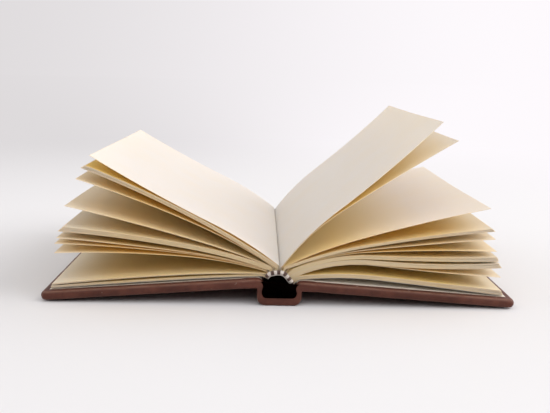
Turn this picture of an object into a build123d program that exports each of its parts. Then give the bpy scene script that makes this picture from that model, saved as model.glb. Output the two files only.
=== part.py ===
# Blank book lying open on its leather case, with its leaves standing in a fan.
# X runs across the open book, Y along the spine, away from the reader, and Z up from the table.
# The origin is on the table, under the middle of the spine. Lengths are in millimetres.
from build123d import *
import os
from math import asin, cos, degrees, radians, sin, sqrt, tan

# Paper
page_width = 105.0
page_height = 148.0
leaf_thickness = 0.18
endpaper_thickness = 0.25
leaf_gap = 0.06

# The fan, from the gutter down to the cover: how many leaves each group holds, how far they
# run straight out of the back, and their angle past the root bend, at the bow and at the fore
# edge. The last group on each side lies along its cover, so its angles are above the cover's
# slope, the others' above the table.
front_leaf_counts = [1, 10, 1, 1, 11, 1, 1, 1, 3, 4]
front_stub_lengths = [2.9, 2.7, 2.4, 2.5, 2.1, 2.4, 2.0, 2.4, 1.2, 2.3]
front_root_angles = [38, 34, 34, 21, 19, 16, 17, 15, 1, 2]
front_bow_angles = [26, 28, 24, 16, 10, 7, 6, 4, -4, 0]
front_tip_angles = [31, 21, 18, 14, 4, 4, 1, -3, -7, -1]
back_leaf_counts = [1, 1, 1, 7, 1, 1, 10, 11, 1, 10]
back_stub_lengths = [1.7, 1.4, 2.1, 2.6, 3.4, 1.8, 4.0, 3.8, 3.7, 4.0]
back_root_angles = [55, 57, 27, 22, 22, 26, 24, 24, 24, 11]
back_bow_angles = [39, 35, 17, 11, 7, 4, -2, -5, -6, -2]
back_tip_angles = [48, 32, 14, 6, 5, -1, 2, 4, -3, -3]

# How the block's back curves away from the gutter: shares of the thickness, turns in degrees
front_back_shares = [0.62, 0.38]
front_back_angles = [-18, -58]
rear_back_shares = [0.36, 0.64]
rear_back_angles = [-52, 0]
glue_depth = 1.0
root_bend = 1.5
bow_share = 0.36

# Case: it stands on its spine, with the covers' fore edges just over the table. Opened before
# its middle, it has its front joint standing a little higher than its back one.
board_thickness = 2.2
leather_thickness = 1.5
turn_in_thickness = 0.7
turn_in_width = 15.0
square = 4.0
fore_edge_square = 5.0
fore_edge_lift = 0.6
front_joint_height = 8.4
back_joint_height = 7.2
spine_edge_radius = 4.0
spine_hollow_radius = 1.5
cover_corner_radius = 3.0
end_rounding = 1.2

# Bands at head and tail, and the lining on the block's back
band_radius = 1.15
band_sink = 0.3
band_inset = 0.4
skirt_depth = 12.0
lining_thickness = 0.4

# Clearances
hinge_clearance = 0.3
case_clearance = 0.3
band_clearance = 0.05
spine_ease = 0.3


def advance(point, heading, length, turn):
    """Pose at the end of a stretch of a path that turns evenly by some degrees."""
    chord = length
    if turn:
        chord = 2 * length / radians(turn) * sin(radians(turn) / 2)
    course = radians(heading + turn / 2)
    end = (point[0] + chord * cos(course), point[1] + chord * sin(course))
    return end, heading + turn


def pose_along(pose, stretches, distance):
    """Pose at a distance along a path of (length, turn) stretches."""
    for length, turn in stretches:
        step = min(distance, length)
        pose = advance(*pose, step, turn * step / length)
        distance -= step
    return pose


def shortened(stretches, distance):
    """The first part of a path, up to a distance along it."""
    kept = []
    for length, turn in stretches:
        step = min(distance, length)
        if step > 0:
            kept.append((step, turn * step / length))
        distance -= step
    return kept


def beside(pose, offset):
    """Point to the left of a pose, or to the right when the offset is negative."""
    (across, up), heading = pose
    return across - offset * sin(radians(heading)), up + offset * cos(radians(heading))


def edge_line(side, pose, stretches, offset, y):
    """Edges of a path's parallel line, in the plane of one y, for one side of the book."""
    edges = []
    for length, turn in stretches:
        poses = [pose, advance(*pose, length / 2, turn / 2), advance(*pose, length, turn)]
        points = [beside(each, offset) for each in poses]
        ends = [Vector(side * across, y, up) for across, up in points]
        edges.append(ThreePointArc(*ends) if turn else Line(ends[0], ends[2]))
        pose = poses[2]
    return edges


def strip(side, pose, stretches, low, high, y):
    """Flat band between two parallels of a path."""
    lower = edge_line(side, pose, stretches, low, y)
    upper = edge_line(side, pose, stretches, high, y)
    root = Line(lower[0] @ 0, upper[0] @ 0)
    tip = Line(lower[-1] @ 1, upper[-1] @ 1)
    return make_face([*lower, *upper, root, tip])


def along_spine(faces, length):
    """One solid from flat bands, drawn out along the spine."""
    return (Part() + [extrude(face, amount=length, dir=(0, 1, 0)) for face in faces]).solid()


def block(x0, x1, length, z0, z1):
    """Box between two x and two z, centred on the middle of the spine's length."""
    box = Box(x1 - x0, length, z1 - z0, align=(Align.MIN, Align.CENTER, Align.MIN))
    return Pos(x0, 0, z0) * box


# Thickness of the two halves of the block, and the case's sizes that follow
front_thickness = sum(leaves * leaf_thickness + leaf_gap for leaves in front_leaf_counts)
back_thickness = sum(leaves * leaf_thickness + leaf_gap for leaves in back_leaf_counts)
case_height = page_height + 2 * square
joint_thickness = 2 * leather_thickness
hollow_half = (front_thickness + back_thickness + spine_ease) / 2
spine_half = hollow_half + joint_thickness
spine_floor = leather_thickness + board_thickness + turn_in_thickness
opening_half = hollow_half - spine_hollow_radius
mean_joint_height = (front_joint_height + back_joint_height) / 2
board_width = page_width + fore_edge_square - leather_thickness - mean_joint_height
cover_thickness = leather_thickness + board_thickness + turn_in_thickness

# Each cover turns about the lower inner edge of its board.
hinge_x = spine_half + hinge_clearance + leather_thickness
cover_top = board_thickness + turn_in_thickness + endpaper_thickness


def back_line(shares, angles, thickness):
    """Stretches of the block's curved back on one side of the gutter."""
    return [(share * thickness, turn) for share, turn in zip(shares, angles)]


def cover_slope(joint_height):
    """Slope in degrees of a cover between its joint and the table."""
    return degrees(asin((joint_height - fore_edge_lift) / board_width))


def leaf_paths(counts, stubs, root_angles, bow_angles, tip_angles, line, slope):
    """Start, stretches and thickness of each group of leaves, with the gutter at zero."""
    paths = []
    reach = 0
    for leaves, stub, root, bow, tip in zip(counts, stubs, root_angles, bow_angles, tip_angles):
        thickness = leaves * leaf_thickness
        tilt = -slope if len(paths) == len(counts) - 1 else 0
        middle = reach + (leaf_gap + thickness) / 2
        reach += leaf_gap + thickness
        point, heading = pose_along(((0, 0), 0), line, middle)
        rise = heading + 90
        bow_length = bow_share * page_width
        tip_length = page_width - stub - root_bend - bow_length
        stretches = [
            (stub, 0),
            (root_bend, root + tilt - rise),
            (bow_length, bow - root),
            (tip_length, tip - bow),
        ]
        paths.append(((point, rise), stretches, thickness))
    return paths


def seat_height(across, joint_height):
    """Height that the underside of the leaves must keep above the table at one x."""
    if across < spine_half:
        reach = joint_thickness + case_clearance
        roll_z = joint_height + cover_thickness - joint_thickness
        return roll_z + sqrt(max(0, reach**2 - (spine_half - across) ** 2))
    slope = radians(cover_slope(joint_height))
    drop = (across - hinge_x) * tan(slope)
    return joint_height + leather_thickness + (cover_top + case_clearance) / cos(slope) - drop


def lift_needed(path, joint_height):
    """Height of the gutter that keeps the flyleaf under a group clear of the case."""
    pose, stretches, thickness = path
    under = -thickness / 2 - leaf_gap - endpaper_thickness
    seat_steps = 210
    lift = 0
    for step in range(seat_steps + 1):
        across, up = beside(pose_along(pose, stretches, page_width * step / seat_steps), under)
        if across > hollow_half - case_clearance:
            lift = max(lift, seat_height(across, joint_height) - up)
    return lift


def raised(path):
    """A path moved up so that the block's gutter is at its height in the case."""
    ((across, up), heading), stretches, thickness = path
    return ((across, up + block_height), heading), stretches, thickness


front_line = back_line(front_back_shares, front_back_angles, front_thickness)
rear_line = back_line(rear_back_shares, rear_back_angles, back_thickness)
front_paths = leaf_paths(
    front_leaf_counts,
    front_stub_lengths,
    front_root_angles,
    front_bow_angles,
    front_tip_angles,
    front_line,
    cover_slope(front_joint_height),
)
back_paths = leaf_paths(
    back_leaf_counts,
    back_stub_lengths,
    back_root_angles,
    back_bow_angles,
    back_tip_angles,
    rear_line,
    cover_slope(back_joint_height),
)
front_lift = lift_needed(front_paths[-1], front_joint_height)
back_lift = lift_needed(back_paths[-1], back_joint_height)
block_height = max(front_lift, back_lift)
gutter = ((0, block_height), 0)
halves = [
    (-1, front_line, [raised(path) for path in front_paths]),
    (1, rear_line, [raised(path) for path in back_paths]),
]

# Text block: every group of leaves grows out of the glued back.
tail_y = -page_height / 2
bands = []
for side, line, paths in halves:
    glued = shortened(line, sum(length for length, turn in line) - paths[-1][2] / 2)
    bands.append(strip(side, gutter, glued, 0, glue_depth, tail_y))
    for pose, stretches, thickness in paths:
        bands.append(strip(side, pose, stretches, -thickness / 2, thickness / 2, tail_y))
text_block = along_spine(bands, page_height)

# Free leaves of the endpapers, lying under the lowest group on each side
flyleaves = []
for side, line, paths in halves:
    pose, stretches, thickness = paths[-1]
    top = -thickness / 2 - leaf_gap
    band = strip(side, pose, stretches, top - endpaper_thickness, top, tail_y)
    flyleaves.append(along_spine([band], page_height))
front_flyleaf, back_flyleaf = flyleaves

# Lining glued on the back, between the skirts of the two bands
lining_y = tail_y + skirt_depth
lining = [strip(side, gutter, line, -lining_thickness, 0, lining_y) for side, line, paths in halves]
spine_lining = along_spine(lining, page_height - 2 * skirt_depth)

# Sewn band: a round bead over the ends of the leaves and a skirt glued under the back
bead_y = tail_y - band_clearance - band_radius
bead_edges = []
for side, line, paths in halves:
    trimmed = shortened(line, sum(length for length, turn in line) - band_inset)
    bead_edges.extend(edge_line(side, gutter, trimmed, band_radius - band_sink, bead_y))
bead_path = Wire(bead_edges)
bead = sweep(Plane(origin=bead_path @ 0, z_dir=bead_path % 0) * Circle(band_radius), path=bead_path)
skirt_faces = [strip(side, gutter, line, -lining_thickness, 0, bead_y) for side, line, paths in halves]
skirt = along_spine(skirt_faces, skirt_depth + tail_y - bead_y)
tail_band = (bead + skirt).solid()
head_band = mirror(tail_band, about=Plane.XZ)


def cover_place(shape, joint_height):
    """Put a piece drawn flat, with the hinge line at the origin, beside a joint on the back's side."""
    hinge = Pos(hinge_x, 0, joint_height + leather_thickness)
    return hinge * Rot(0, cover_slope(joint_height), 0) * shape


# Cover board, with its two fore-edge corners rounded
board = block(0, board_width, case_height - 2 * leather_thickness, 0, board_thickness)
board_corners = board.edges().filter_by(Axis.Z).group_by(Axis.X)[-1]
board = fillet(board_corners, cover_corner_radius - leather_thickness)

# Leather round the board: closed at every edge, turned in over three sides of its inner face
cover_end = board_width + leather_thickness
leather_top = board_thickness + turn_in_thickness
leather = block(-leather_thickness, cover_end, case_height, -leather_thickness, leather_top)
leather = fillet(leather.edges().filter_by(Axis.Z).group_by(Axis.X)[-1], cover_corner_radius)
rims = leather.edges().group_by(Axis.Z)
inner_top_edge = rims[-1].sort_by(Axis.X)[0]
outer_top_edges = [edge for edge in rims[-1] if edge != inner_top_edge]
leather = fillet([*rims[0], *outer_top_edges], leather_thickness)
window_end = board_width - turn_in_width
window_height = case_height - 2 * turn_in_width
window = block(0, window_end, window_height, board_thickness, leather_top)
leather = leather - board - window

# Pastedown, with the filling that levels the turn-ins under it
pastedown = block(0, cover_end - square, page_height, leather_top, cover_top) + window

back_board = cover_place(board, back_joint_height)
back_cover_leather = cover_place(leather, back_joint_height)
back_pastedown = cover_place(pastedown, back_joint_height)
front_board = mirror(cover_place(board, front_joint_height), about=Plane.YZ)
front_cover_leather = mirror(cover_place(leather, front_joint_height), about=Plane.YZ)
front_pastedown = mirror(cover_place(pastedown, front_joint_height), about=Plane.YZ)


def half_outline(joint_height):
    """Outline of half the spine leather: its floor and the joint that stands beside it."""
    floor_half = spine_half - spine_edge_radius
    flange_top = joint_height + cover_thickness
    roll_z = flange_top - joint_thickness
    hollow_z = spine_floor + spine_hollow_radius
    return [
        Line((0, 0), (floor_half, 0)),
        RadiusArc((floor_half, 0), (spine_half, spine_edge_radius), -spine_edge_radius),
        Line((spine_half, spine_edge_radius), (spine_half, flange_top)),
        RadiusArc((spine_half, flange_top), (hollow_half, roll_z), -joint_thickness),
        Line((hollow_half, roll_z), (hollow_half, hollow_z)),
        RadiusArc((hollow_half, hollow_z), (opening_half, spine_floor), spine_hollow_radius),
        Line((opening_half, spine_floor), (0, spine_floor)),
    ]


# Spine leather: a flat floor between two standing joints whose tops roll over into the hollow
front_outline = [mirror(edge, about=Plane.YZ) for edge in half_outline(front_joint_height)]
outline = half_outline(back_joint_height) + front_outline
spine = extrude(Plane.XZ * make_face(outline), amount=case_height / 2, both=True)
spine_ends = [*spine.edges().group_by(Axis.Y)[0], *spine.edges().group_by(Axis.Y)[-1]]
spine = fillet(spine_ends, end_rounding)
inlay_length = case_height - 2 * leather_thickness
inlay_top = leather_thickness + board_thickness
spine_board = block(-hollow_half, hollow_half, inlay_length, leather_thickness, inlay_top)
opening = block(-opening_half, opening_half, window_height, inlay_top, spine_floor)
spine_leather = spine - spine_board - opening

nodes = {
    "text_block": text_block,
    "front_flyleaf": front_flyleaf,
    "back_flyleaf": back_flyleaf,
    "spine_lining": spine_lining,
    "tail_band": tail_band,
    "head_band": head_band,
    "spine_leather": spine_leather,
    "spine_board": spine_board,
    "front_board": front_board,
    "front_cover_leather": front_cover_leather,
    "front_pastedown": front_pastedown,
    "back_board": back_board,
    "back_cover_leather": back_cover_leather,
    "back_pastedown": back_pastedown,
}

os.makedirs("parts", exist_ok=True)
for name, shape in nodes.items():
    export_step(shape, f"parts/{name}.step")
print(f"block height {block_height:.3f}, hinge x {hinge_x:.3f}")
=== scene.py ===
# Looks for the open blank book: single leaves, thread-wound bands, grained leather and paper.
# The frame is the CAD part's: X across the open book, Y along the spine, Z up, in metres.
# Lengths in the building code are in millimetres and become metres in make_mesh.
# A side is -1 at the front cover and 1 at the back, and lists of bundles run from the gutter down.
from math import acos, asin, cos, degrees, pi, radians, sin

import bmesh
import bpy
import numpy as np
from mathutils import Matrix, Vector


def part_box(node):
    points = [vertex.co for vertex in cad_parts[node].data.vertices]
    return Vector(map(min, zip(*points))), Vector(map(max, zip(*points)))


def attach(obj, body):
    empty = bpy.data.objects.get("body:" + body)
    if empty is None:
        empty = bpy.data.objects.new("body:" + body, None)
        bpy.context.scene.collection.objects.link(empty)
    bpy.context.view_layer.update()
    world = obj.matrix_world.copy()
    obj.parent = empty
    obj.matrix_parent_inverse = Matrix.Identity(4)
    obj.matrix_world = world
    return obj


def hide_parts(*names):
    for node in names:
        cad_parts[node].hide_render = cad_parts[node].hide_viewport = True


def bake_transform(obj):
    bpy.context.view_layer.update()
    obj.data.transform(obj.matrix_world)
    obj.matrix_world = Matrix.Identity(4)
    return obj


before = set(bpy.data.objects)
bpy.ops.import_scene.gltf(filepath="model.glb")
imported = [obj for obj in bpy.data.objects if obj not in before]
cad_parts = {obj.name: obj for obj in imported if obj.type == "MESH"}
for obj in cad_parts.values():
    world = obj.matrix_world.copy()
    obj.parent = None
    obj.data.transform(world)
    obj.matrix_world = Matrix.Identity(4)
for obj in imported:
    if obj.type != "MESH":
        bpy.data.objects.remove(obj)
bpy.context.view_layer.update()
MM = 0.001
leaf_seed = 7
draw = np.random.default_rng(leaf_seed)

# Paper, as in the part
page_width = 105.0
page_height = 148.0
leaf_thickness = 0.18
leaf_gap = 0.06
front_leaf_counts = [1, 10, 1, 1, 11, 1, 1, 1, 3, 4]
front_stub_lengths = [2.9, 2.7, 2.4, 2.5, 2.1, 2.4, 2.0, 2.4, 1.2, 2.3]
front_root_angles = [38, 34, 34, 21, 19, 16, 17, 15, 1, 2]
front_bow_angles = [26, 28, 24, 16, 10, 7, 6, 4, -4, 0]
front_tip_angles = [31, 21, 18, 14, 4, 4, 1, -3, -7, -1]
back_leaf_counts = [1, 1, 1, 7, 1, 1, 10, 11, 1, 10]
back_stub_lengths = [1.7, 1.4, 2.1, 2.6, 3.4, 1.8, 4.0, 3.8, 3.7, 4.0]
back_root_angles = [55, 57, 27, 22, 22, 26, 24, 24, 24, 11]
back_bow_angles = [39, 35, 17, 11, 7, 4, -2, -5, -6, -2]
back_tip_angles = [48, 32, 14, 6, 5, -1, 2, 4, -3, -3]
front_back_shares = [0.62, 0.38]
front_back_angles = [-18, -58]
rear_back_shares = [0.36, 0.64]
rear_back_angles = [-52, 0]
root_bend = 1.5
bow_share = 0.36

# How the outer leaves differ from the part's bundles: added length, and less rise at the tip in degrees
front_reaches = [2.9, 1.5, 1.2, 1.9, 0, 0, 0, 0, 0, 0]
back_reaches = [1.3, 2.0, 2.1, 0.5, 0, 0, 0, 0, 0, 0]
front_tip_droops = [0, 0, 1.0, 1.5, 0, 0, 0, 0, 0, 0]
back_tip_droops = [2.5, 0.5, 1.5, 0, 0, 0, 0, 0, 0, 0]

# Case, bands and clearances, as in the part
board_thickness = 2.2
leather_thickness = 1.5
turn_in_thickness = 0.7
square = 4.0
fore_edge_square = 5.0
fore_edge_lift = 0.6
front_joint_height = 8.4
back_joint_height = 7.2
spine_edge_radius = 4.0
spine_hollow_radius = 1.5
cover_corner_radius = 3.0
end_rounding = 1.2
band_radius = 1.15
band_sink = 0.3
band_inset = 0.4
skirt_depth = 12.0
lining_thickness = 0.4
hinge_clearance = 0.3
band_clearance = 0.05
spine_ease = 0.3

front_thickness = sum(n * leaf_thickness + leaf_gap for n in front_leaf_counts)
back_thickness = sum(n * leaf_thickness + leaf_gap for n in back_leaf_counts)
case_height = page_height + 2 * square
joint_thickness = 2 * leather_thickness
hollow_half = (front_thickness + back_thickness + spine_ease) / 2
spine_half = hollow_half + joint_thickness
mean_joint_height = (front_joint_height + back_joint_height) / 2
board_width = page_width + fore_edge_square - leather_thickness - mean_joint_height
cover_thickness = leather_thickness + board_thickness + turn_in_thickness
spine_floor = cover_thickness
hinge_x = spine_half + hinge_clearance + leather_thickness
leather_top = board_thickness + turn_in_thickness
cover_end = board_width + leather_thickness
block_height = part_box("spine_lining")[1].z / MM
gutter = ((0, block_height), 0)

# What differs between the two sides
joint_heights = {-1: front_joint_height, 1: back_joint_height}
hinge_z = {side: height + leather_thickness for side, height in joint_heights.items()}
flange_top = {side: height + cover_thickness for side, height in joint_heights.items()}
cover_slope = {
    side: degrees(asin((height - fore_edge_lift) / board_width)) for side, height in joint_heights.items()
}

# One less the sine and one less the cosine through a quarter turn, for every rounded edge
arc_steps = 7
quarter_turn = np.radians(np.linspace(0, 90, arc_steps))
falls = list(zip(1 - np.sin(quarter_turn), 1 - np.cos(quarter_turn)))


# Meshes

def make_mesh(name, points, faces, materials, slots=None, marks=None, sharp=50):
    """Object from points in millimetres, with a material slot per face and named point values."""
    mesh = bpy.data.meshes.new(name)
    mesh.from_pydata((np.asarray(points) * MM).tolist(), [], faces)
    for material in materials:
        mesh.materials.append(material)
    if slots is not None:
        mesh.polygons.foreach_set("material_index", slots)
    for key, values in (marks or {}).items():
        mark = mesh.attributes.new(key, "FLOAT", "POINT")
        mark.data.foreach_set("value", np.asarray(values, np.float32))
    shell = bmesh.new()
    shell.from_mesh(mesh)
    bmesh.ops.recalc_face_normals(shell, faces=shell.faces)
    shell.to_mesh(mesh)
    shell.free()
    mesh.shade_smooth()
    mesh.set_sharp_from_angle(angle=radians(sharp))
    piece = bpy.data.objects.new(name, mesh)
    bpy.context.collection.objects.link(piece)
    return piece


def grid_faces(rows, columns, first=0, close_columns=False):
    """Quads of a grid of points, row by row, closed round on itself where asked."""
    faces = []
    for row in range(rows - 1):
        corner = first + row * columns
        lower = corner + columns
        for column in range(columns if close_columns else columns - 1):
            beside = (column + 1) % columns
            faces.append((corner + column, corner + beside, lower + beside, lower + column))
    return faces


def tube_faces(rows, around):
    """Faces round a row of rings of points, with one more to close each end."""
    faces = grid_faces(rows, around, close_columns=True)
    faces.append(tuple(range(around)))
    faces.append(tuple(range((rows - 1) * around, rows * around)))
    return faces


def drawn_along(outline, depths):
    """Points and closed faces of an outline in a section, drawn along the spine."""
    points = [(x, y, z) for y in depths for x, z in outline]
    return np.array(points), tube_faces(len(depths), len(outline))


def joined(parts):
    """One list of points and one of faces from several, and how many faces each part gave."""
    points, faces, counts = [], [], []
    for part_points, part_faces in parts:
        first = sum(len(each) for each in points)
        points.append(part_points)
        faces.extend(tuple(first + corner for corner in face) for face in part_faces)
        counts.append(len(part_faces))
    return np.concatenate(points), faces, counts


def unit(vectors):
    """Vectors with their lengths made 1."""
    return vectors / np.linalg.norm(vectors, axis=1)[:, None]


def bell(value, middle, width):
    """Smooth hump that is 1 at the middle."""
    return np.exp(-((value - middle) / width) ** 2)


# Paths in a section across the book: a pose is a point and a heading in degrees

def advance(point, heading, length, turn):
    """Pose after an arc, or after a straight run where the turn is 0."""
    chord = length
    if turn:
        chord = 2 * length / radians(turn) * sin(radians(turn) / 2)
    course = radians(heading + turn / 2)
    return (point[0] + chord * cos(course), point[1] + chord * sin(course)), heading + turn


def pose_along(pose, stretches, distance):
    """Pose at a distance along stretches of a length and a turn, and straight on past the last."""
    for length, turn in stretches:
        step = min(distance, length)
        pose = advance(*pose, step, turn * step / length)
        distance -= step
    return advance(*pose, distance, 0)


def line_along(pose, stretches, distances):
    """Points and unit vectors to the left at distances along a path."""
    poses = [pose_along(pose, stretches, float(distance)) for distance in distances]
    points = np.array([point for point, heading in poses])
    headings = np.radians([heading for point, heading in poses])
    return points, np.stack([-np.sin(headings), np.cos(headings)], 1)


def back_line(shares, angles, thickness):
    """Stretches of half the curved back of the block, from the gutter out."""
    return [(share * thickness, turn) for share, turn in zip(shares, angles)]


def leaf_groups(counts, stubs, roots, bows, tips, line, slope):
    """Start pose, stretches and number of leaves of each bundle. The lowest lies along its cover."""
    groups = []
    reach = 0
    for count, stub, root, bow, tip in zip(counts, stubs, roots, bows, tips):
        thickness = count * leaf_thickness
        tilt = -slope if len(groups) == len(counts) - 1 else 0
        middle = reach + (leaf_gap + thickness) / 2
        reach += leaf_gap + thickness
        point, heading = pose_along(gutter, line, middle)
        rise = heading + 90
        bow_length = bow_share * page_width
        tip_length = page_width - stub - root_bend - bow_length
        stretches = [
            (stub, 0),
            (root_bend, root + tilt - rise),
            (bow_length, bow - root),
            (tip_length, tip - bow),
        ]
        groups.append(((point, rise), stretches, count))
    return groups


front_line = back_line(front_back_shares, front_back_angles, front_thickness)
rear_line = back_line(rear_back_shares, rear_back_angles, back_thickness)
front_tips = np.subtract(front_tip_angles, front_tip_droops)
back_tips = np.subtract(back_tip_angles, back_tip_droops)
front_groups = leaf_groups(
    front_leaf_counts, front_stub_lengths, front_root_angles, front_bow_angles, front_tips,
    front_line, cover_slope[-1],
)
back_groups = leaf_groups(
    back_leaf_counts, back_stub_lengths, back_root_angles, back_bow_angles, back_tips,
    rear_line, cover_slope[1],
)


def arch_points(offset, inset=0.0, count=14):
    """Points across the curved back of the block, from the front side to the rear, at an offset."""
    sides = []
    for side, line in ((-1, front_line), (1, rear_line)):
        reach = sum(length for length, turn in line) - inset
        points, left = line_along(gutter, line, np.linspace(0, reach, count))
        sides.append((points + left * offset) * (side, 1))
    return np.concatenate([sides[0][:0:-1], sides[1]])


def arch_slab(low, high, y0, y1, rows, inset=0.0):
    """Points and faces of a strip that follows the back, closed all round."""
    section = np.concatenate([arch_points(high, inset), arch_points(low, inset)[::-1]])
    return drawn_along(section, np.linspace(y0, y1, rows))


# Leaves

# Stations along a leaf, as shares of its width, close together at the root and at the fore edge
root_reach = 6.0
root_stations = np.linspace(0, root_reach, 13)
page_stations = root_reach + np.array([3, 7, 12, 18, 25, 33, 41, 50, 60, 70, 80, 88, 94, 97])
stations = np.concatenate([root_stations, page_stations, [page_width]]) / page_width
leaf_rows = 10
longest_reach = 8
measuring_step = 0.5

# Play of single leaves: air between them, uneven cuts, fanned tips and waves
leaf_play = 0.02
edge_play = 0.16
fore_edge_play = 0.35
fore_edge_range = (-1, 0.3)
tip_fanning = 0.035
fanning_range = (0.4, 1.6)
single_wave = 0.5
bundle_wave = 0.2
wave_range = (0.6, 1.0)
wave_cycles = (0.5, 1.0)

# How much painted gold a face has, from 0 to 1: the gold stands for light that comes through the leaves
# and is caught between them. The top leaves are pale, and the others are paler at their tips, which stand
# in open light.
# Golden roots are painted on the pale leaves at the back, by rank: where the gold ends and how far it
# fades.
pale_leaves = {-1: 1, 1: 3}
painted_gold_range = (0.5, 1)
tip_paling = 0.65
paling_start = 0.72
paling_length = 0.25
painted_root_gold = 0.8
painted_golden_roots = {0: (0.75, 0.45), 1: (1.0, 0.5)}

# Fold in the gutter, and glue on the back
fold_start = 2.3
fold_reach = 7.0
fold_count = 12
fold_lift = 0.01
fold_thickness = 0.06
glue_rise = 0.7
glue_end_gap = 0.2
glue_inset = 0.6
glue_rows = 3


def leaf_line(pose, stretches, offset, width):
    """Points and left vectors of one leaf beside its bundle's path, cut to its own width."""
    fine = np.arange(0, page_width + longest_reach, measuring_step)
    points, left = line_along(pose, stretches, fine)
    beside = points + left * offset
    lengths = np.concatenate([[0], np.cumsum(np.linalg.norm(np.diff(beside, axis=0), axis=1))])
    end = np.interp(width, lengths, fine)
    points, left = line_along(pose, stretches, stations * end)
    return points + left * offset, left


def clear_of(points, left, lower):
    """Lift the points of a leaf that sit closer than a leaf's thickness over the next leaf down."""
    start, run = lower[:-1], np.diff(lower, axis=0)
    share = ((points[:, None] - start) * run).sum(2) / (run * run).sum(1)
    foot = start + np.clip(share, 0, 1)[..., None] * run
    away = points[:, None] - foot
    nearest = np.argmin((away * away).sum(2), axis=1)
    rows = np.arange(len(points))
    side = run[nearest]
    gap = away[rows, nearest]
    height = (side[:, 0] * gap[:, 1] - side[:, 1] * gap[:, 0]) / np.linalg.norm(side, axis=1)
    inside = share[rows, nearest] < 1
    lack = np.where(inside, np.clip(leaf_thickness - height, 0, None), 0)
    return points + left * lack[:, None]


def side_leaves(groups, reaches):
    """All leaves of one side from the lowest up: points, left vectors and wave."""
    leaves = []
    for (pose, stretches, count), reach in zip(groups[::-1], reaches[::-1]):
        phase, cycles = draw.uniform(0, 2 * pi), draw.uniform(*wave_cycles)
        wave = (bundle_wave if count > 1 else single_wave) * draw.uniform(*wave_range)
        lowest = len(leaves) == 0
        for place in range(count):
            offset = (place - (count - 1) / 2) * leaf_thickness
            width = page_width + reach + draw.uniform(*fore_edge_range) * fore_edge_play
            points, left = leaf_line(pose, stretches, offset, width)
            fan = tip_fanning * draw.uniform(*fanning_range) * place * stations**2
            points = points + left * fan[:, None]
            if leaves:
                points = clear_of(points, left, leaves[-1][0])
            leaves.append((points, left, (0 if lowest else wave, phase, cycles)))
    return leaves


def leaf_slab(points, left, wave, side):
    """Points of one thin leaf, upper face then lower face, and its closed faces."""
    height, phase, cycles = wave
    tail = -page_height / 2 + draw.uniform(0, 1) * edge_play
    head = page_height / 2 - draw.uniform(0, 1) * edge_play
    depth = np.linspace(tail, head, leaf_rows)
    lift = height * stations[:, None] ** 2 * np.sin(2 * pi * cycles * depth / page_height + phase)
    lift -= lift[:, :1]
    half = (leaf_thickness - leaf_play) / 2
    sheets = []
    for offset in (half, -half):
        flat = points[:, None, :] + left[:, None, :] * (lift + offset)[..., None]
        y = np.broadcast_to(depth, flat.shape[:2])
        sheets.append(np.stack([side * flat[..., 0], y, flat[..., 1]], 2).reshape(-1, 3))
    rows, columns = len(stations), leaf_rows
    under = rows * columns
    faces = grid_faces(rows, columns) + grid_faces(rows, columns, under)
    grid = np.arange(under).reshape(rows, columns)
    rim = np.concatenate([grid[0], grid[1:, -1], grid[-1, -2::-1], grid[-2:0:-1, 0]]).tolist()
    for point, after in zip(rim, rim[1:] + rim[:1]):
        faces.append((point, after, under + after, under + point))
    return np.concatenate(sheets), faces


def painted_leaf_gold(side, rank, painted_share, along):
    """Painted gold of a leaf's upper and lower faces, for light caught between the leaves. Rank 0 is the
    lowest pale leaf of its side, and the leaf below it at the front is golden all over its upper face."""
    paling = 1 - tip_paling * np.clip((along - paling_start) / paling_length, 0, 1)
    upper = paling * (0.0 if rank >= 0 else painted_share)
    lower = paling * (0.0 if rank >= 1 else painted_share)
    if side == 1 and rank in painted_golden_roots:
        golden_end, golden_fade = painted_golden_roots[rank]
        upper = painted_root_gold * np.clip((golden_end - along) / golden_fade, 0, 1)
    if side == -1 and rank == -1:
        upper = np.ones(len(along))
    return np.concatenate([upper, lower])


def gutter_fold():
    """Points and faces of the fold where the two open leaves meet in the gutter."""
    line = []
    for side, groups in ((-1, front_groups), (1, back_groups)):
        pose, stretches, count = groups[0]
        points, left = line_along(pose, stretches, np.linspace(fold_start, fold_reach, fold_count))
        over = points + left * (leaf_thickness / 2 + fold_lift)
        line.append(over * (side, 1))
    section = np.concatenate([line[0][::-1], line[1]])
    outline = np.concatenate([section, section[::-1] - (0, fold_thickness)])
    half = page_height / 2 - edge_play
    return drawn_along(outline, np.linspace(-half, half, leaf_rows))


def build_leaves(material):
    """All leaves one by one, with the fold in the gutter and the glue on the back."""
    along = np.repeat(stations, leaf_rows)
    parts, painted_golds, alongs = [], [], []
    for side, groups, reaches in ((-1, front_groups, front_reaches), (1, back_groups, back_reaches)):
        stack = side_leaves(groups, reaches)
        for place, (points, left, wave) in enumerate(stack):
            parts.append(leaf_slab(points, left, wave, side))
            # Painted gold on each face by its rank below the top, for light caught between the leaves
            rank = place - (len(stack) - pale_leaves[side])
            painted_golds.append(painted_leaf_gold(side, rank, draw.uniform(*painted_gold_range), along))
            alongs.append(np.tile(along, 2))
    glue_half = page_height / 2 - glue_end_gap
    glue = arch_slab(0.0, glue_rise, -glue_half, glue_half, glue_rows, glue_inset)
    for part in (gutter_fold(), glue):
        parts.append(part)
        painted_golds.append(np.zeros(len(part[0])))
        alongs.append(np.zeros(len(part[0])))
    points, faces, counts = joined(parts)
    marks = {"tone": np.concatenate(painted_golds), "along": np.concatenate(alongs)}
    return make_mesh("leaves", points, faces, [material], marks=marks, sharp=35)


# Thread-wound bands: a bead, a locking cord below it and a skirt glued to the back

stripe_width = 1.52
thread_width = 0.3
cord_sides = 16
cord_end_share = 0.02
band_count = 60
bead_steps = 330
bead_ridge = 0.07
lock_radius = 0.34
lock_steps = 260
lock_ridge = 0.16
lock_offset = -0.12
lock_inset = 0.2
lock_forward = 0.35
skirt_gap = 0.02
skirt_rows = 8


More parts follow.
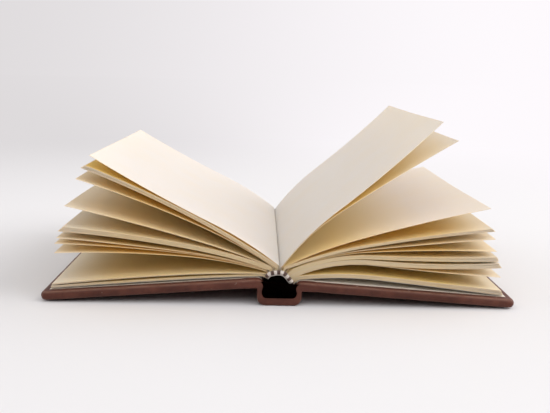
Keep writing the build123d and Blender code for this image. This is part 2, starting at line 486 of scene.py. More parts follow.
def wound_cord(path, y, radius, steps, ridge):
    """Points, faces and stripes of a cord along a path in a section, ridged by the thread wound on it."""
    runs = np.linalg.norm(np.diff(path, axis=0), axis=1)
    reach = np.concatenate([[0], np.cumsum(runs)])
    distance = np.linspace(0, reach[-1], steps)
    x, z = np.interp(distance, reach, path[:, 0]), np.interp(distance, reach, path[:, 1])
    dx, dz = np.gradient(x), np.gradient(z)
    size = np.hypot(dx, dz)
    around = np.linspace(0, 2 * pi, cord_sides, endpoint=False)
    swell = 1 - ridge + ridge * np.abs(np.sin(pi * distance / thread_width))
    ends = np.minimum(distance, reach[-1] - distance) / radius
    swell = swell * np.sqrt(np.clip(1 - (1 - np.clip(ends, 0, 1)) ** 2, cord_end_share, 1))
    out = radius * swell[:, None] * np.cos(around)
    fore = radius * swell[:, None] * np.sin(around)
    px = x[:, None] - (dz / size)[:, None] * out
    pz = z[:, None] + (dx / size)[:, None] * out
    points = np.stack([px, y + fore, pz], 2).reshape(-1, 3)
    middle = (distance[:-1] + distance[1:]) / 2
    stripe = (middle // stripe_width).astype(int) % 2
    stripes = np.repeat(stripe, cord_sides).tolist() + [0, 0]
    return points, tube_faces(steps, cord_sides), stripes


def build_band(name, end, materials):
    """Striped bead over the ends of the leaves, its locking cord and its skirt."""
    bead_y = end * (page_height / 2 + band_clearance + band_radius)
    path = arch_points(band_radius - band_sink, band_inset, band_count)
    bead = wound_cord(path, bead_y, band_radius, bead_steps, bead_ridge)
    lower = arch_points(lock_offset, lock_inset, band_count)
    lock = wound_cord(lower, bead_y + end * lock_forward, lock_radius, lock_steps, lock_ridge)
    inner = end * (page_height / 2 - skirt_depth)
    skirt = arch_slab(-lining_thickness, -skirt_gap, bead_y, inner, skirt_rows)
    points, faces, counts = joined([bead[:2], lock[:2], skirt])
    slots = bead[2] + [1] * counts[1] + [2] * counts[2]
    return make_mesh(name, points, faces, materials, slots=slots, sharp=60)


# Leather of the covers, in a cover's own axes: u from the hinge to the fore edge, v up from the board

rim_radius = 2.0
rim_sink = 0.12
sink_start = 3.0
sink_length = 4.0
joint_reach = 0.25
hinge_zone = 6.0
hinge_top_radius = 0.35
hinge_corner = 0.6
least_corner = 0.4
face_insets = [14.0, 7.0, 3.6]
hinge_face_insets = [14.0, 7.0, 3.0]
long_count = 34
short_count = 46
ripple_lengths = (34.0, 19.0, 11.0, 6.5)
cover_ripple = 0.07
ripple_inset = 6.0
corner_fold_width = 0.55
corner_fold_reach = 3.2
corner_fold_depth = 0.4
corner_fold_wear = 0.6

# Painted highlight and rubbing along the upper roll of the rims, and a weaker paler line on the lower
# roll: where each is strongest, as an angle on the roll, and its spread
upper_highlight = (30, 18)
lower_pale_line = (60, 25)
lower_pale_share = 0.3
upper_roll_height = 0.7


def corner_place(radius, step):
    """Place along and in from a sharp corner, for a step of its rounding from the middle outwards."""
    share = step / (arc_steps - 1)
    angle = radians(45 + 45 * share)
    flat = max(1 - radius / cover_corner_radius, 0) * cover_corner_radius * share
    return radius * (1 - cos(angle)) + flat, radius * (1 - sin(angle))


def side_points(start, end, inward, corner_start, corner_end, count):
    """Points of one side of a rounded rectangle, from the middle of one corner to the next."""
    length = np.linalg.norm(end - start)
    along = (end - start) / length
    points = []
    for step in range(arc_steps):
        forward, inset = corner_place(corner_start, step)
        points.append(start + along * forward + inward * inset)
    for share in np.linspace(0, 1, count + 2)[1:-1]:
        points.append(start + along * (cover_corner_radius + share * (length - 2 * cover_corner_radius)))
    for step in range(arc_steps - 1, 0, -1):
        forward, inset = corner_place(corner_end, step)
        points.append(end - along * forward + inward * inset)
    return points


def cover_ring(inset, hinge_inset):
    """Closed loop in the plan of a cover, with its fore-edge corners rounded."""
    low_u = -leather_thickness - joint_reach + hinge_inset
    high_u = cover_end - inset
    half = case_height / 2 - inset
    fore_corner = max(cover_corner_radius - inset, least_corner)
    corners = np.array([(low_u, -half), (high_u, -half), (high_u, half), (low_u, half)])
    inward = np.array([(0, 1), (-1, 0), (0, -1), (1, 0)])
    radii = [hinge_corner, fore_corner, fore_corner, hinge_corner]
    ring = []
    for here in range(4):
        after = (here + 1) % 4
        count = short_count if here % 2 else long_count
        ring += side_points(corners[here], corners[after], inward[here], radii[here], radii[after], count)
    return np.array(ring)


def rim_profile():
    """Insets and heights round the rim of a cover, at its open sides and at its hinge side."""
    low, high = -leather_thickness, leather_top
    hinge_low = leather_thickness + joint_reach
    rows = [((inset, high), (hinge, high)) for inset, hinge in zip(face_insets, hinge_face_insets)]
    for near, far in falls:
        open_side = (rim_radius * near, high - rim_radius * far)
        rows.append((open_side, (hinge_top_radius * near, high - hinge_top_radius * far)))
    for near, far in falls:
        open_side = (rim_radius * far, low + rim_radius * near)
        rows.append((open_side, (hinge_low * far, low + leather_thickness * near)))
    rows += [((inset, low), (inset, low)) for inset in reversed(face_insets)]
    return rows


def cover_point(side, u, v):
    """Distance from the spine's middle and height of a place in a cover."""
    slope = radians(cover_slope[side])
    return hinge_x + u * cos(slope) + v * sin(slope), hinge_z[side] - u * sin(slope) + v * cos(slope)


def ripple(a, b, seed):
    """Small smooth unevenness over a surface, between -1 and 1."""
    total = np.zeros(np.shape(a))
    rng = np.random.default_rng(seed)
    for length in ripple_lengths:
        angle, phase = rng.uniform(0, 2 * pi, 2)
        total = total + np.sin((a * cos(angle) + b * sin(angle)) * 2 * pi / length + phase)
    return total / len(ripple_lengths)


def rim_highlight_and_wear(inset, upper):
    """Painted highlight and rubbing round a rim: a narrow line on its upper roll, and a weak paler one on
    its lower roll.
    """
    share = min(max(1 - inset / rim_radius, 0), 1)
    if upper:
        return bell(degrees(asin(share)), *upper_highlight)
    return lower_pale_share * bell(degrees(acos(share)), *lower_pale_line)


def build_cover(name, side, material, seed):
    """Leather round a cover: rolled rim, folded corners and faintly uneven faces."""
    rings, marks = [], []
    for (inset, height), (hinge_inset, hinge_height) in rim_profile():
        ring = cover_ring(inset, hinge_inset)
        u = ring[:, 0]
        sunk = rim_sink * np.clip(1 - (u - sink_start) / sink_length, 0, 1)
        y = ring[:, 1] * (1 - sunk / (case_height / 2))
        near_hinge = np.clip(1 - (u + leather_thickness) / hinge_zone, 0, 1) ** 2
        v = height * (1 - near_hinge) + hinge_height * near_hinge
        v = v + cover_ripple * ripple(u, y, seed) * (inset < ripple_inset)
        from_fore, from_end = cover_end - u, case_height / 2 - np.abs(y)
        corner = bell(from_fore, from_end, corner_fold_width) * bell(from_fore, 0, corner_fold_reach)
        corner = corner * (height > 0)
        x, z = cover_point(side, u, v - corner_fold_depth * corner)
        rings.append(np.stack([side * x, y, z], 1))
        # Painted highlight and rubbing along the rims, and wear on the folded corners
        wear_and_highlight = rim_highlight_and_wear(inset, height > upper_roll_height) * (1 - near_hinge)
        marks.append(wear_and_highlight + corner_fold_wear * corner)
    faces = tube_faces(len(rings), len(rings[0]))
    marks = {"wear_and_highlight": np.concatenate(marks)}
    return make_mesh(name, np.concatenate(rings), faces, [material], marks=marks)


# Leather of the spine

shoulder_radius = 1.2
shoulder_end = 70
roll_start = 108
spine_seed = 5
spine_rows = 40
spine_end_zone = 4.0
spine_ripple = 0.05
ripple_end = 0.1
inner_margin = 0.6
inner_depth = 0.1
inner_pull = 0.45
# Painted highlight and rubbing on the rolled ends of the spine, full on the inner edge and weaker outside
end_highlight_and_rub = (0.3, 0.28)
end_highlight_least = 0.02
outer_highlight_share = 0.3
table_touch = 0.01


def arc(x, z, radius, angles):
    """Points round a centre in a section, at angles in degrees."""
    return [(x + radius * cos(turn), z + radius * sin(turn)) for turn in np.radians(angles)]


def half_section(side):
    """Outline of half the spine leather, from the middle of its underside round to its floor."""
    floor_half = spine_half - spine_edge_radius
    top = flange_top[side]
    roll_z = top - joint_thickness
    half = [(x, 0.0) for x in np.linspace(0, floor_half, 7)]
    half += arc(floor_half, spine_edge_radius, spine_edge_radius, np.linspace(-90, 0, 9)[1:])
    shoulder_z = top - shoulder_radius
    half += [(spine_half, z) for z in np.linspace(spine_edge_radius, shoulder_z, 6)[1:]]
    shoulder_angles = np.linspace(0, shoulder_end, 6)[1:]
    half += arc(spine_half - shoulder_radius, shoulder_z, shoulder_radius, shoulder_angles)
    half += arc(spine_half, roll_z, joint_thickness, np.linspace(roll_start, 180, 8))
    corner = spine_floor + spine_hollow_radius
    half += [(hollow_half, z) for z in np.linspace(roll_z, corner, 4)[1:]]
    floor_end = hollow_half - spine_hollow_radius
    half += arc(floor_end, corner, spine_hollow_radius, np.linspace(0, -90, 6)[1:])
    half += [(x, spine_floor) for x in np.linspace(floor_end, 0, 6)[1:]]
    return np.array(half)


def spine_section():
    """Closed outline of the spine leather and its outward vectors."""
    right, left = half_section(1), half_section(-1)
    section = np.concatenate([right, left[-2:0:-1] * (-1, 1)])
    along = unit(np.roll(section, -1, 0) - np.roll(section, 1, 0))
    return section, np.stack([along[:, 1], -along[:, 0]], 1)


def build_spine(material):
    """Leather of the spine: floor, standing joints and rolled ends."""
    section, outward = spine_section()
    across, height = section[:, 0], section[:, 1]
    inner = (np.abs(across) < spine_half - inner_margin) & (height > spine_floor - inner_depth)
    half = case_height / 2 - rim_sink
    ends = [(half - end_rounding * near, end_rounding * far) for near, far in falls]
    places = [(-y, inset) for y, inset in reversed(ends)]
    places += [(y, 0.0) for y in np.linspace(-half + spine_end_zone, half - spine_end_zone, spine_rows)]
    places += ends
    rings, marks = [], []
    for y, inset in places:
        uneven = spine_ripple * ripple(across * 2, height + y, spine_seed) * (inset < ripple_end)
        ring = section - outward * (inset * np.where(inner, inner_pull, 1.0) - uneven)[:, None]
        z = np.where(height < table_touch, np.maximum(ring[:, 1], 0.0), ring[:, 1])
        rings.append(np.stack([ring[:, 0], np.full(len(ring), y), z], 1))
        # Painted highlight and rubbing on the rolled ends
        highlight_and_rub = bell(inset, *end_highlight_and_rub) if inset > end_highlight_least else 0.0
        marks.append(highlight_and_rub * np.where(inner, 1.0, outer_highlight_share))
    faces = tube_faces(len(rings), len(section))
    marks = {"wear_and_highlight": np.concatenate(marks)}
    return make_mesh("spine_skin", np.concatenate(rings), faces, [material], marks=marks)


# Sheets and rims that bend over the joints

joint_skin = 0.14
skin_lift = 0.02
skin_end_gap = 2.8
skin_rows = 24
hinge_paper = 0.15
paper_lift = joint_skin + 0.04
pasted_lift = 0.03
paper_rows = 20
roll_angles = np.linspace(60, 6, 8)
sunk_start = 24
sunk_length = 30
sunk_margin = 0.06
past_flange = 0.1
joint_places = [-0.9, 0.0, 1.0, 2.0, 3.0, 4.0]
pasted_places = np.concatenate([[5.5, 7.0], np.linspace(10, cover_end - square, 16)])

# Rolled rim over the end of a joint
rim_reach = 7.0
rim_turn = 2.2
rim_depth = 3.4
rim_swell = 0.45
rim_foot = 0.4
rim_hinge_rounding = 1.4
turn_angles = [0, 40, 90]
turn_roundings = [1.3, 0.8, 1.0]
rim_fade = 0.22
rim_proud = 0.07
rim_proud_loss = 0.25
rim_end_gap = 0.02
rim_end_loss = 0.22
rim_lip = 0.1
# Painted highlight and rubbing along the rolled rim: the row of its profile where it is strongest, and its
# spread
rim_highlight_line = (3.5, 1.3)


def strip_over(name, side, section, thickness, half_height, rows, material):
    """Thin sheet drawn along the spine from a line of points in a section."""
    line = np.array(section)
    along = unit(np.gradient(line, axis=0))
    up = np.stack([-along[:, 1], along[:, 0]], 1)
    outline = np.concatenate([line + up * thickness, line[::-1]]) * (side, 1)
    points, faces = drawn_along(outline, np.linspace(-half_height, half_height, rows))
    return make_mesh(name, points, faces, [material])


def joint_section(side, lift, thickness):
    """Line over the joint, from inside the roll of the standing joint to some way along the cover."""
    roll_z = flange_top[side] - joint_thickness
    line = []
    for angle in roll_angles:
        turn = radians(angle)
        sunk = (lift + thickness + sunk_margin) * min(max((angle - sunk_start) / sunk_length, 0), 1)
        radius = joint_thickness + lift - sunk
        line.append((spine_half - radius * sin(turn), roll_z + radius * cos(turn)))
    line.append((spine_half + past_flange, flange_top[side] + lift))
    line += [cover_point(side, u, leather_top + lift) for u in joint_places]
    return line


def build_joint_skin(name, side, material):
    """Leather that bridges the joint on the inside and follows the cover's slope."""
    line = joint_section(side, skin_lift, joint_skin)
    return strip_over(name, side, line, joint_skin, case_height / 2 - skin_end_gap, skin_rows, material)


def build_endpaper(name, side, material):
    """Pastedown in one sheet with the endpaper that bends over the joint."""
    line = joint_section(side, paper_lift, hinge_paper)
    line += [cover_point(side, u, leather_top + pasted_lift) for u in pasted_places]
    return strip_over(name, side, line, hinge_paper, page_height / 2, paper_rows, material)


def joint_rim_line(side):
    """Middle line of the case's rolled end, from the cover over the joint and down its standing side,
    with the thickness on its upper and lower sides and the rounding of its edges."""
    cover_half, flange_half = cover_thickness / 2, joint_thickness / 2
    flange_x = spine_half - flange_half
    corner_z = joint_heights[side] + cover_half
    rows = []
    for u in np.linspace(rim_reach, 0, 8):
        rounding = np.interp(u, [0, rim_reach], [rim_hinge_rounding, rim_radius])
        rows.append((*cover_point(side, u, leather_top - cover_half), cover_half, cover_half, rounding))
    for angle in np.linspace(0, 90, 11):
        turn = radians(angle)
        half = cover_half + (flange_half - cover_half) * angle / 90
        x = flange_x + rim_turn * (1 - sin(turn))
        z = corner_z - rim_turn * (1 - cos(turn))
        rounding = np.interp(angle, turn_angles, turn_roundings)
        rows.append((x, z, half + rim_swell * sin(2 * turn), half, rounding))
    for z in np.linspace(corner_z - rim_turn, spine_edge_radius + rim_foot, 5)[1:]:
        rows.append((flange_x, z, flange_half, flange_half, end_rounding))
    return np.array(rows)


def build_joint_rim(name, side, end, material):
    """Rolled leather over the end of a joint, that carries the cover's rim on into the spine's."""
    rows = joint_rim_line(side)
    along = unit(np.gradient(rows[:, :2], axis=0))
    place = np.linspace(0, 1, len(rows))
    fade = np.clip(1 - np.minimum(place, 1 - place) / rim_fade, 0, 1) ** 2
    points = []
    for (x, z, upper, lower, rounding), (dx, dz), sunk in zip(rows, along, fade):
        proud = rim_proud - rim_proud_loss * sunk
        front = case_height / 2 - rim_end_gap - rim_end_loss * sunk
        rolled = [(rounding * far, front - rounding * near) for near, far in falls]
        rolled.insert(0, (rim_lip, front - rim_depth))
        profile = [(upper + proud - inset, y) for inset, y in rolled]
        profile += [(-lower - proud + inset, y) for inset, y in reversed(rolled)]
        points += [(side * (x + dz * rise), end * y, z - dx * rise) for rise, y in profile]
    faces = tube_faces(len(rows), len(profile))
    # Painted highlight and rubbing along the roll
    marks = {"wear_and_highlight": np.tile(bell(np.arange(len(profile)), *rim_highlight_line), len(rows))}
    return make_mesh(name, points, faces, [material], marks=marks)


# Shader nodes

def put(tree, socket, value):
    """Link a socket to another, or give it a value."""
    if isinstance(value, bpy.types.NodeSocket):
        tree.links.new(value, socket)
    else:
        socket.default_value = value


def add(tree, kind, inputs=None, **settings):
    """A shader node with its settings, and its inputs linked or given values."""
    made = tree.nodes.new("ShaderNode" + kind)
    for key, value in settings.items():
        setattr(made, key, value)
    for key, value in (inputs or {}).items():
        put(tree, made.inputs[key], value)
    return made


def fresh(name):
    material = bpy.data.materials.new(name)
    material.use_nodes = True
    tree = material.node_tree
    tree.nodes.clear()
    return material, tree


def place_in(tree, scale=None):
    """Point on the object, in metres, stretched where a scale is given."""
    place = add(tree, "TexCoord").outputs["Object"]
    if scale is None:
        return place
    return add(tree, "Mapping", {"Vector": place, "Scale": scale}).outputs["Vector"]


def noise(tree, place, scale, detail=4.0, roughness=0.55):
    """Soft random value over the surface, finer where the scale is larger."""
    inputs = {"Vector": place, "Scale": scale, "Detail": detail, "Roughness": roughness}
    return add(tree, "TexNoise", inputs).outputs["Fac"]


def spread(tree, value, span, target=(0.0, 1.0)):
    """Value eased from one span into another."""
    inputs = {
        "Value": value, "From Min": span[0], "From Max": span[1], "To Min": target[0], "To Max": target[1],
    }
    return add(tree, "MapRange", inputs, interpolation_type="SMOOTHSTEP").outputs["Result"]


def mix(tree, share, first, second, kind="MIX"):
    """Colour between two, each a socket or red, green and blue."""
    made = add(tree, "Mix", data_type="RGBA", blend_type=kind)
    sockets = {socket.identifier: socket for socket in made.inputs}
    for key, value in (("Factor_Float", share), ("A_Color", first), ("B_Color", second)):
        put(tree, sockets[key], (*value, 1.0) if isinstance(value, tuple) else value)
    return next(socket for socket in made.outputs if socket.identifier == "Result_Color")


def tint(tree, value, span, first, second, most=1.0):
    """Colour eased from one to another, up to a share, as a value crosses a span."""
    return mix(tree, spread(tree, value, span, (0.0, most)), first, second)


def combine(tree, kind, first, second=0.0):
    return add(tree, "Math", {0: first, 1: second}, operation=kind).outputs[0]


def bump(tree, height, strength, distance):
    """Normal of a surface that is raised by a height."""
    inputs = {"Height": height, "Strength": strength, "Distance": distance}
    return add(tree, "Bump", inputs).outputs["Normal"]


def mark(tree, name):
    return add(tree, "Attribute", attribute_name=name).outputs["Fac"]


def finish_with(tree, shader):
    add(tree, "OutputMaterial", {"Surface": shader})


def surface(tree, colour, rough, normal, others):
    inputs = {"Base Color": colour, "Roughness": rough, "Normal": normal, **others}
    return add(tree, "BsdfPrincipled", inputs).outputs["BSDF"]


# Materials

paper_glow = (1.0, 0.84, 0.46)
# Painted shade on the cut edges: where it starts at the ends and at the fore edge, and how strong it is
end_shade_span = ((page_height / 2 - 0.5) * MM, page_height / 2 * MM)
tip_shade_span = (0.996, 1.0)
edge_shade_share = 0.6
dye_dark, dye_light, dye_streak = (0.084, 0.027, 0.018), (0.132, 0.045, 0.030), (0.053, 0.020, 0.016)
# Colours and shares of the painted highlight with rubbing on the rims, and of the scuffs
leather_highlight_and_rub, leather_scuffed = (0.36, 0.205, 0.15), (0.42, 0.33, 0.28)
highlight_and_rub_share = 0.45
scuffed_share = 0.5
cloth_light, cloth_dark = (0.62, 0.56, 0.47), (0.36, 0.31, 0.25)
cloth_pitch = 0.0011
board_light, board_dark, board_fleck = (0.24, 0.20, 0.16), (0.19, 0.16, 0.13), (0.10, 0.085, 0.07)


def paper(name, white, gold, edge, see_through):
    """Uncoated paper: fibres, soft mottling, painted gold for light caught between the leaves, painted
    shade on the cut edges, and light that comes through.
    """
    material, tree = fresh(name)
    place = place_in(tree)
    mottling = noise(tree, place, scale=42.0, detail=5.0)
    fibres = noise(tree, place_in(tree, (1.0, 0.3, 1.0)), scale=2100.0, detail=6.0, roughness=0.7)
    specks = noise(tree, place, scale=900.0, detail=3.0)
    colour = tint(tree, mottling, (0.3, 0.7), white, gold, most=0.06)
    colour = tint(tree, fibres, (0.35, 0.75), colour, gold, most=0.08)
    # Painted gold where the tone mark asks, for light caught between the leaves
    colour = mix(tree, mark(tree, "tone"), colour, gold)
    # Painted shade on the cut edges, at the ends of each leaf and at its fore edge
    across = add(tree, "SeparateXYZ", {"Vector": place}).outputs["Y"]
    ends = spread(tree, combine(tree, "ABSOLUTE", across), end_shade_span)
    tips = spread(tree, mark(tree, "along"), tip_shade_span)
    painted_share = combine(tree, "MULTIPLY", combine(tree, "MAXIMUM", ends, tips), edge_shade_share)
    colour = mix(tree, painted_share, colour, edge)
    height = combine(tree, "ADD", fibres, combine(tree, "MULTIPLY", specks, 0.5))
    normal = bump(tree, height, strength=0.12, distance=0.00012)
    rough = spread(tree, fibres, (0.2, 0.8), (0.78, 0.95))
    face = surface(tree, colour, rough, normal, {"Specular IOR Level": 0.22})
    through = mix(tree, 1.0, colour, paper_glow, "MULTIPLY")
    inner = add(tree, "BsdfTranslucent", {"Color": through}).outputs["BSDF"]
    mixed = add(tree, "MixShader", {"Fac": see_through, 1: face, 2: inner})
    finish_with(tree, mixed.outputs["Shader"])
    return material


def leather(name):
    """Dark brown leather: pebbled grain, patchy dye, a painted highlight with rubbing on the rims, and
    small scuffs.
    """
    material, tree = fresh(name)
    place = place_in(tree)
    patches = noise(tree, place, scale=55.0, detail=5.0)
    streaks = noise(tree, place_in(tree, (1.0, 0.35, 1.0)), scale=240.0, detail=6.0, roughness=0.65)
    pebbles = add(tree, "TexVoronoi", {"Vector": place, "Scale": 950.0}, feature="F1")
    pits = noise(tree, place, scale=3400.0)
    grain = combine(tree, "ADD", pebbles.outputs["Distance"], combine(tree, "MULTIPLY", pits, 0.35))
    colour = tint(tree, patches, (0.3, 0.7), dye_dark, dye_light)
    colour = tint(tree, streaks, (0.35, 0.75), colour, dye_streak, most=0.55)
    uneven = spread(tree, streaks, (0.25, 0.65), (0.35, 1.0))
    # Painted highlight and rubbing where the mark asks, broken up by the streaks
    highlight_and_rub = combine(tree, "MULTIPLY", combine(tree, "MULTIPLY", mark(tree, "wear_and_highlight"), uneven), highlight_and_rub_share)
    colour = mix(tree, highlight_and_rub, colour, leather_highlight_and_rub)
    scuffs = spread(tree, noise(tree, place, scale=310.0, detail=2.0), (0.70, 0.76))
    colour = mix(tree, combine(tree, "MULTIPLY", scuffs, scuffed_share), colour, leather_scuffed)
    rough = spread(tree, streaks, (0.25, 0.75), (0.38, 0.6))
    normal = bump(tree, grain, strength=0.35, distance=0.00022)
    finish_with(tree, surface(tree, colour, rough, normal, {"Specular IOR Level": 0.16}))
    return material


def thread(name, light, deep):
    """Spun thread with a soft sheen, wound across the band."""
    material, tree = fresh(name)
    place = place_in(tree, (1.0, 2.6, 1.0))
    strands = noise(tree, place, scale=2600.0, roughness=0.7)
    tone = noise(tree, place, scale=420.0, detail=3.0)
    colour = tint(tree, strands, (0.3, 0.7), light, deep)
    colour = tint(tree, tone, (0.4, 0.8), colour, deep, most=0.5)
    rough = spread(tree, strands, (0.2, 0.8), (0.5, 0.75))
    normal = bump(tree, strands, strength=0.4, distance=0.00012)
    sheen = {"Sheen Weight": 0.25, "Specular IOR Level": 0.35}
    finish_with(tree, surface(tree, colour, rough, normal, sheen))
    return material


def cloth(name):
    """Plain open weave, as on the lining of a book's back."""
    material, tree = fresh(name)
    split = add(tree, "SeparateXYZ", {"Vector": place_in(tree)})
    turns = 2 * pi / cloth_pitch
    warp = combine(tree, "SINE", combine(tree, "MULTIPLY", split.outputs["X"], turns))
    weft = combine(tree, "SINE", combine(tree, "MULTIPLY", split.outputs["Y"], turns))
    weave = combine(tree, "MAXIMUM", warp, weft)
    fluff = noise(tree, place_in(tree), scale=1900.0)
    colour = tint(tree, weave, (-0.5, 0.8), cloth_dark, cloth_light)
    colour = tint(tree, fluff, (0.4, 0.8), colour, cloth_dark, most=0.4)
    rough = spread(tree, fluff, (0.2, 0.8), (0.75, 0.95))
    normal = bump(tree, combine(tree, "ADD", weave, fluff), strength=0.5, distance=0.00015)
    finish_with(tree, surface(tree, colour, rough, normal, {"Sheen Weight": 0.2}))
    return material


def card(name):
    """Raw grey board: flecked, fibrous and matt."""
    material, tree = fresh(name)
    place = place_in(tree)
    flecks = noise(tree, place, scale=1300.0, detail=5.0, roughness=0.7)
    clouds = noise(tree, place, scale=70.0)
    colour = tint(tree, clouds, (0.3, 0.7), board_light, board_dark)
    colour = tint(tree, flecks, (0.5, 0.75), colour, board_fleck, most=0.6)
    rough = spread(tree, flecks, (0.2, 0.8), (0.82, 0.96))
    normal = bump(tree, flecks, strength=0.3, distance=0.0002)
    finish_with(tree, surface(tree, colour, rough, normal, {}))
    return material


# Each paper's edge colour is painted shade for its cut edges, and the leaf paper's gold, where a leaf's
# tone mark asks for it, is painted light caught between the leaves
leaf_paper = paper(
    "leaf_paper", white=(0.955, 0.948, 0.955), gold=(0.98, 0.775, 0.29), edge=(0.92, 0.79, 0.60),
    see_through=0.30,
)
end_paper = paper(
    "end_paper", white=(0.93, 0.88, 0.80), gold=(0.94, 0.80, 0.54), edge=(0.55, 0.43, 0.32),
    see_through=0.18,
)
brown_leather = leather("brown_leather")
brown_thread = thread("brown_thread", light=(0.12, 0.060, 0.045), deep=(0.05, 0.024, 0.018))
white_thread = thread("white_thread", light=(0.80, 0.74, 0.69), deep=(0.52, 0.44, 0.38))
lining_cloth = cloth("lining_cloth")
grey_board = card("grey_board")

# Pieces on the book block
leaves = build_leaves(leaf_paper)
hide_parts("text_block")
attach(leaves, "book_block")

for name, end, node in (("tail_band_threads", -1, "tail_band"), ("head_band_threads", 1, "head_band")):
    band = build_band(name, end, [brown_thread, white_thread, lining_cloth])
    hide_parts(node)
    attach(band, "book_block")

spine_skin = build_spine(brown_leather)
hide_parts("spine_leather")
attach(spine_skin, "book_block")

# Pieces on the covers, and those over the joints, and a distance from the middle just inside the hinge
bend_end = hinge_x - 0.2

for side, word, seed in ((-1, "front", 11), (1, "back", 23)):
    body = word + "_cover"
    skin = build_cover(word + "_cover_skin", side, brown_leather, seed)
    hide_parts(word + "_cover_leather")
    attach(skin, body)
    end = (side * bend_end * MM, 0, flange_top[side] * MM)
    joint = build_joint_skin(word + "_joint_skin", side, brown_leather)
    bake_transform(joint)
    for edge, end_word in ((-1, "tail"), (1, "head")):
        rim = build_joint_rim(f"{word}_{end_word}_rim", side, edge, brown_leather)
        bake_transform(rim)
    sheet = build_endpaper(word + "_endpaper", side, end_paper)
    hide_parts(word + "_pastedown")
    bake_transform(sheet)

# Finishes of the part's own solids
for node, material in (
    ("front_flyleaf", end_paper), ("back_flyleaf", end_paper), ("spine_lining", lining_cloth),
    ("spine_board", grey_board), ("front_board", grey_board), ("back_board", grey_board),
):
    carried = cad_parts[node]
    carried.data.materials.clear()
    carried.data.materials.append(material)


# Stage: a pale background and floor, light from the world, and one lamp

# The backdrop is painted shade: darker at the left and paler at the right
background_left = (0.73, 0.705, 0.715)
background_right = (0.99, 0.955, 0.985)
background_span = (-0.45, 0.35)
floor_colour = (0.80, 0.785, 0.80, 1.0)
floor_radius = 6000.0
floor_rings = 24
floor_sides = 72
floor_fade = (0.16, 0.75)

# Light from low and high on each side, and where in the sky each begins and ends, as unit directions
right_low, right_high = (2.46, 2.44, 2.41), (0.60, 0.597, 0.592)
left_low, left_high = (1.27, 1.265, 1.247), (0.67, 0.669, 0.664)
front_low, front_high = (0.12, 0.118, 0.117), (1.55, 1.538, 1.529)
top_light = (0.60, 0.595, 0.59)
side_heights = (0.4, 0.85)
front_heights = (0.3, 0.62)
right_span = (0.3, 0.8)
left_span = (-0.3, -0.8)
front_span = (-0.6, 0.0)
key_place = Vector((1.15, -0.25, 0.95))
key_aim = Vector((0, 0, 0.03))
key_size = 1.1
key_power = 8.0

# Camera in the photograph's place, in millimetres, degrees and pixels
camera_place = Vector((-10.779, -410.813, 112.925))
camera_pitch, camera_yaw, camera_roll = 10.889, -1.319, 1.378
focal_length = 723.1
image_width = 550
sensor_width = 36.0
clip_range = (0.01, 30)


def seen_directly(tree):
    """One where the camera, a reflection or a view through glass meets the surface."""
    path = add(tree, "LightPath")
    seen = combine(tree, "MAXIMUM", path.outputs["Is Camera Ray"], path.outputs["Is Glossy Ray"])
    return combine(tree, "MAXIMUM", seen, path.outputs["Is Transmission Ray"])


def pale_gradient(tree, across):
    return tint(tree, across, background_span, background_left, background_right)


def build_world():
    """Soft light that is stronger low at the sides and high in front, behind a pale background."""
    world = bpy.data.worlds.new("studio")
    bpy.context.scene.world = world
    world.use_nodes = True
    tree = world.node_tree
    tree.nodes.clear()
    direction = add(tree, "TexCoord").outputs["Generated"]
    split = add(tree, "SeparateXYZ", {"Vector": direction})
    across, depth, height = (split.outputs[axis] for axis in "XYZ")
    rise = spread(tree, height, side_heights)
    right = mix(tree, rise, right_low, right_high)
    left = mix(tree, rise, left_low, left_high)
    around = tint(tree, across, right_span, top_light, right)
    around = tint(tree, across, left_span, around, left)
    front = tint(tree, height, front_heights, front_low, front_high)
    light = tint(tree, depth, front_span, front, around)
    colour = mix(tree, seen_directly(tree), light, pale_gradient(tree, across))
    shine = add(tree, "Background", {"Color": colour, "Strength": 1.0})
    add(tree, "OutputWorld", {"Surface": shine.outputs["Background"]})


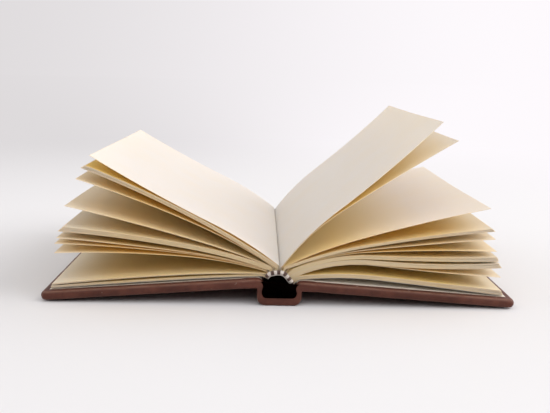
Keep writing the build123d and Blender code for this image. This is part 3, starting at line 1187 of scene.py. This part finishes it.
def floor_material():
    """Matt and pale, fading into the background away from the book."""
    material, tree = fresh("pale_floor")
    place = place_in(tree)
    away = add(tree, "VectorMath", {0: place}, operation="LENGTH").outputs["Value"]
    course = add(tree, "VectorMath", {0: place}, operation="NORMALIZE").outputs["Vector"]
    across = add(tree, "SeparateXYZ", {"Vector": course}).outputs["X"]
    matt = add(tree, "BsdfDiffuse", {"Color": floor_colour}).outputs["BSDF"]
    far = add(tree, "Emission", {"Color": pale_gradient(tree, across), "Strength": 1.0})
    share = combine(tree, "MULTIPLY", spread(tree, away, floor_fade), seen_directly(tree))
    mixed = add(tree, "MixShader", {"Fac": share, 1: matt, 2: far.outputs["Emission"]})
    finish_with(tree, mixed.outputs["Shader"])
    return material


def build_floor():
    """Round floor whose rings widen away from the book."""
    turns = np.linspace(0, 2 * pi, floor_sides, endpoint=False)
    points = [(0, 0, 0)]
    for ring in range(1, floor_rings + 1):
        radius = floor_radius * (ring / floor_rings) ** 3
        points += [(radius * cos(turn), radius * sin(turn), 0) for turn in turns]
    faces = [(0, 1 + place, 1 + (place + 1) % floor_sides) for place in range(floor_sides)]
    faces += grid_faces(floor_rings, floor_sides, 1, close_columns=True)
    floor = make_mesh("floor", points, faces, [floor_material()], sharp=35)


def build_key():
    """Square lamp at the right, aimed at the middle of the book."""
    lamp = bpy.data.lights.new("key", "AREA")
    lamp.shape = "RECTANGLE"
    lamp.size, lamp.size_y = key_size, key_size
    lamp.energy = key_power
    holder = bpy.data.objects.new("key", lamp)
    holder.location = key_place
    holder.rotation_euler = (key_aim - key_place).to_track_quat("-Z", "Y").to_euler()
    bpy.context.collection.objects.link(holder)


def build_camera():
    """Camera whose height, aim and lens come from the book's own perspective."""
    lens = bpy.data.cameras.new("camera")
    lens.sensor_width = sensor_width
    lens.lens = focal_length / image_width * sensor_width
    lens.clip_start, lens.clip_end = clip_range
    camera = bpy.data.objects.new("camera", lens)
    place = Matrix.Translation(camera_place * MM)
    for angle, axis in ((camera_yaw, "Z"), (90 - camera_pitch, "X"), (camera_roll, "Z")):
        place = place @ Matrix.Rotation(radians(angle), 4, axis)
    camera.matrix_world = place
    bpy.context.collection.objects.link(camera)
    bpy.context.scene.camera = camera


build_world()
build_floor()
build_key()
build_camera()
bpy.context.scene.view_settings.view_transform = "Standard"
